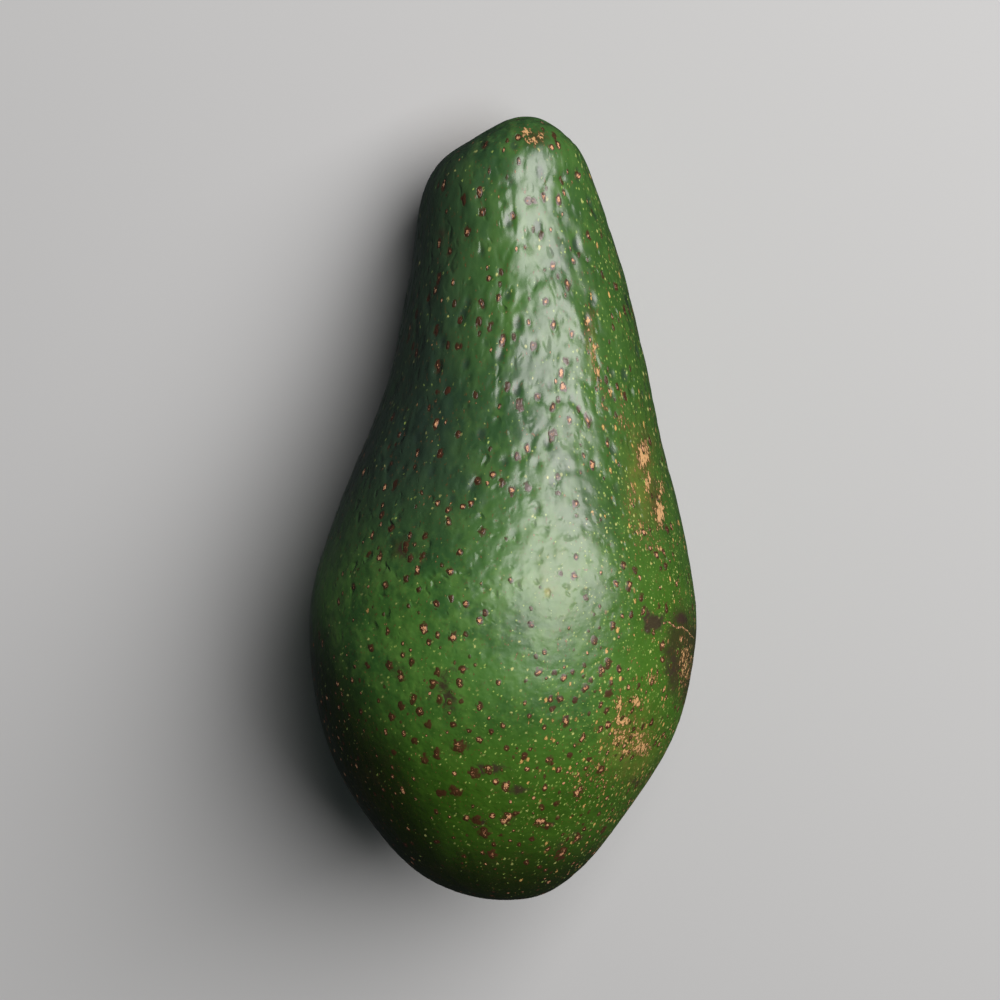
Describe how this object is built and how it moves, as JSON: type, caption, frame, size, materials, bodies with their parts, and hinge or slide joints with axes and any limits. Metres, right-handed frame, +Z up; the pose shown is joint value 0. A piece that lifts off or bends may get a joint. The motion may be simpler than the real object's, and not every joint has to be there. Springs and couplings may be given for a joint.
{
  "type": "avocado",
  "caption": "Long pear-shaped green avocado lying on its side, with a pebbled skin and the dry stub of its stem in a shallow cavity.",
  "frame": {"origin": "centre of the bounding box's bottom, on the surface that the fruit lies on", "axes": "+Z up, +Y along the fruit from its blossom end to its stem end, +X across it"},
  "size_m": [0.0644, 0.1282, 0.0629],
  "materials": {
    "avocado_skin": "waxy satin skin, pebbled, mid green with pale lenticels and brown corky specks",
    "dry_stem": "dry, rough, grey-brown stem end"
  },
  "bodies": {
    "root": {"fruit": "avocado_skin", "stem_button": "dry_stem"}
  },
  "joints": []
}
